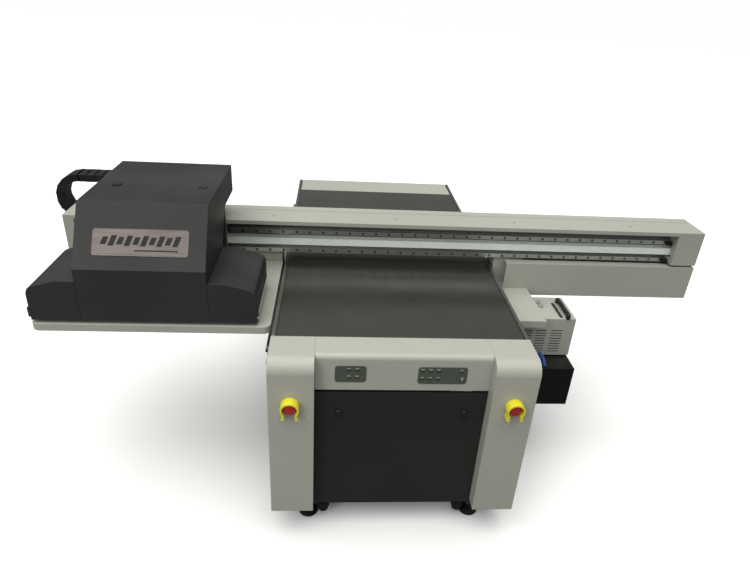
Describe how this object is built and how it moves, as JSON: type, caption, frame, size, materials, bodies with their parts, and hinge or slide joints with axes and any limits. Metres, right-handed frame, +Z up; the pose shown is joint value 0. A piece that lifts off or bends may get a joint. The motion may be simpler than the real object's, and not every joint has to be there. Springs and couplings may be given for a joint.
{
  "type": "flatbed UV printer",
  "caption": "Free-standing flatbed UV printer: vacuum table on a cabinet, travelling gantry beam, hooded print carriage with lamp covers, parking tray, energy chain and cooler.",
  "frame": {"origin": "on the floor under the middle of the machine's bounding box, gantry as pictured and carriage parked at the left", "axes": "+X to the operator's right along the beam, +Y away from the operator along the table, +Z up"},
  "size_m": [2.983, 2.0723, 1.272],
  "materials": {
    "cream_paint": "satin cream-grey powder coat",
    "hood_paint": "fine-textured dark grey powder coat",
    "door_paint": "dark grey powder coat",
    "frame_paint": "dull dark grey paint",
    "table_alloy": "dark anodised, slightly glossy",
    "alloy": "mill finish",
    "rail_steel": "ground",
    "black_plastic": "matt black",
    "box_paint": "black powder coat",
    "stop_yellow": "yellow, satin",
    "stop_red": "red, satin",
    "membrane": "grey-green printed film",
    "belt_rubber": "pale belt",
    "motor_iron": "painted casting",
    "cooler_paint": "white powder coat",
    "plate_metal": "brushed, warm tint"
  },
  "bodies": {
    "table": {"base_frame": "frame_paint", "left_front_column": "cream_paint", "right_front_column": "cream_paint", "front_fascia": "cream_paint", "left_side_panel": "cream_paint", "right_side_panel": "cream_paint", "rear_panel": "cream_paint", "vacuum_table": "table_alloy", "left_rail_ledge": "frame_paint", "right_rail_ledge": "frame_paint", "left_gantry_rail": "rail_steel", "right_gantry_rail": "rail_steel", "left_control_panel": "membrane", "right_control_panel": "membrane", "left_stop_shroud": "stop_yellow", "right_stop_shroud": "stop_yellow", "cabinet_floor": "frame_paint", "vacuum_pump": "motor_iron", "front_left_foot": "black_plastic", "front_right_foot": "black_plastic", "rear_left_foot": "black_plastic", "rear_right_foot": "black_plastic"},
    "door": {"front_door": "door_paint"},
    "door_lock_left": {"left_door_lock": "black_plastic"},
    "door_lock_right": {"right_door_lock": "black_plastic"},
    "stop_button_left": {"left_stop_button": "stop_red"},
    "stop_button_right": {"right_stop_button": "stop_red"},
    "screw_left": {"left_gantry_screw": "alloy"},
    "screw_right": {"right_gantry_screw": "alloy"},
    "gantry": {"gantry_beam": "alloy", "beam_top_cover": "cream_paint", "left_end_cover": "cream_paint", "right_end_cover": "cream_paint", "beam_skirt": "cream_paint", "left_leg": "cream_paint", "right_leg": "cream_paint", "upper_rail": "rail_steel", "lower_rail": "rail_steel", "drive_belt": "belt_rubber", "carriage_motor": "motor_iron", "parking_tray": "cream_paint", "cooler": "cooler_paint", "cooler_handle": "black_plastic", "power_box": "box_paint", "chain_trough": "alloy", "chain_lower_run": "black_plastic"},
    "belt_drive": {"drive_pulley": "alloy"},
    "belt_idler": {"idler_pulley": "alloy"},
    "carriage": {"slider": "alloy", "chain_upper_run": "black_plastic"},
    "chain_loop": {"chain_bend": "black_plastic"},
    "head": {"head_plate": "alloy", "print_heads": "black_plastic", "left_uv_lamp": "alloy", "right_uv_lamp": "alloy", "hood_rear_cover": "hood_paint", "left_lamp_cover": "hood_paint", "right_lamp_cover": "hood_paint"},
    "hood_lid": {"hood_front_cover": "hood_paint", "nameplate": "plate_metal"}
  },
  "joints": [
    {"name": "gantry_travel", "type": "slide", "parent": "table", "child": "gantry", "axis": [0, 1, 0], "range_m": [-0.1, 1]},
    {"name": "carriage_travel", "type": "slide", "parent": "gantry", "child": "carriage", "axis": [1, 0, 0], "range_m": [0, 1.86], "deforming": ["chain_lower_run", "chain_upper_run"]},
    {"name": "chain_travel", "type": "slide", "parent": "carriage", "child": "chain_loop", "axis": [1, 0, 0], "range_m": [-0.93, 0]},
    {"name": "head_lift", "type": "slide", "parent": "carriage", "child": "head", "axis": [0, 0, 1], "range_m": [0, 0.04]},
    {"name": "hood_hinge", "type": "hinge", "parent": "head", "child": "hood_lid", "pos_m": [-0.9155, -0.4258, 1.272], "axis": [-1, 0, 0], "range_deg": [0, 75]},
    {"name": "door_hinge", "type": "hinge", "parent": "table", "child": "door", "pos_m": [0.0345, -0.9438, 0.122], "axis": [1, 0, 0], "range_deg": [0, 90]},
    {"name": "door_lock_left_turn", "type": "hinge", "parent": "door", "child": "door_lock_left", "pos_m": [-0.1975, -0.9438, 0.594], "axis": [0, 1, 0], "range_deg": [0, 90]},
    {"name": "door_lock_right_turn", "type": "hinge", "parent": "door", "child": "door_lock_right", "pos_m": [0.2755, -0.9438, 0.594], "axis": [0, 1, 0], "range_deg": [0, 90]},
    {"name": "stop_press_left", "type": "slide", "parent": "table", "child": "stop_button_left", "axis": [0, 1, 0], "range_m": [0, 0.005], "stiffness_N_per_m": 800},
    {"name": "stop_press_right", "type": "slide", "parent": "table", "child": "stop_button_right", "axis": [0, 1, 0], "range_m": [0, 0.005], "stiffness_N_per_m": 800},
    {"name": "screw_turn_left", "type": "hinge", "parent": "table", "child": "screw_left", "pos_m": [-0.485, 0.1852, 0.632], "axis": [0, 1, 0], "continuous": true},
    {"name": "screw_turn_right", "type": "hinge", "parent": "table", "child": "screw_right", "pos_m": [0.554, 0.1852, 0.632], "axis": [0, 1, 0], "continuous": true},
    {"name": "drive_pulley_turn", "type": "hinge", "parent": "gantry", "child": "belt_drive", "pos_m": [1.4305, -0.1848, 0.95], "axis": [0, 0, 1], "continuous": true},
    {"name": "idler_pulley_turn", "type": "hinge", "parent": "gantry", "child": "belt_idler", "pos_m": [-1.36, -0.1848, 0.95], "axis": [0, 0, 1], "continuous": true}
  ],
  "couplings": [
    {"joint": "chain_travel", "follows": "carriage_travel", "ratio": -0.5},
    {"joint": "screw_turn_left", "follows": "gantry_travel", "rad_per_m": 157.08},
    {"joint": "screw_turn_right", "follows": "gantry_travel", "rad_per_m": 157.08},
    {"joint": "drive_pulley_turn", "follows": "carriage_travel", "rad_per_m": 50.761},
    {"joint": "idler_pulley_turn", "follows": "carriage_travel", "rad_per_m": 50.761}
  ]
}
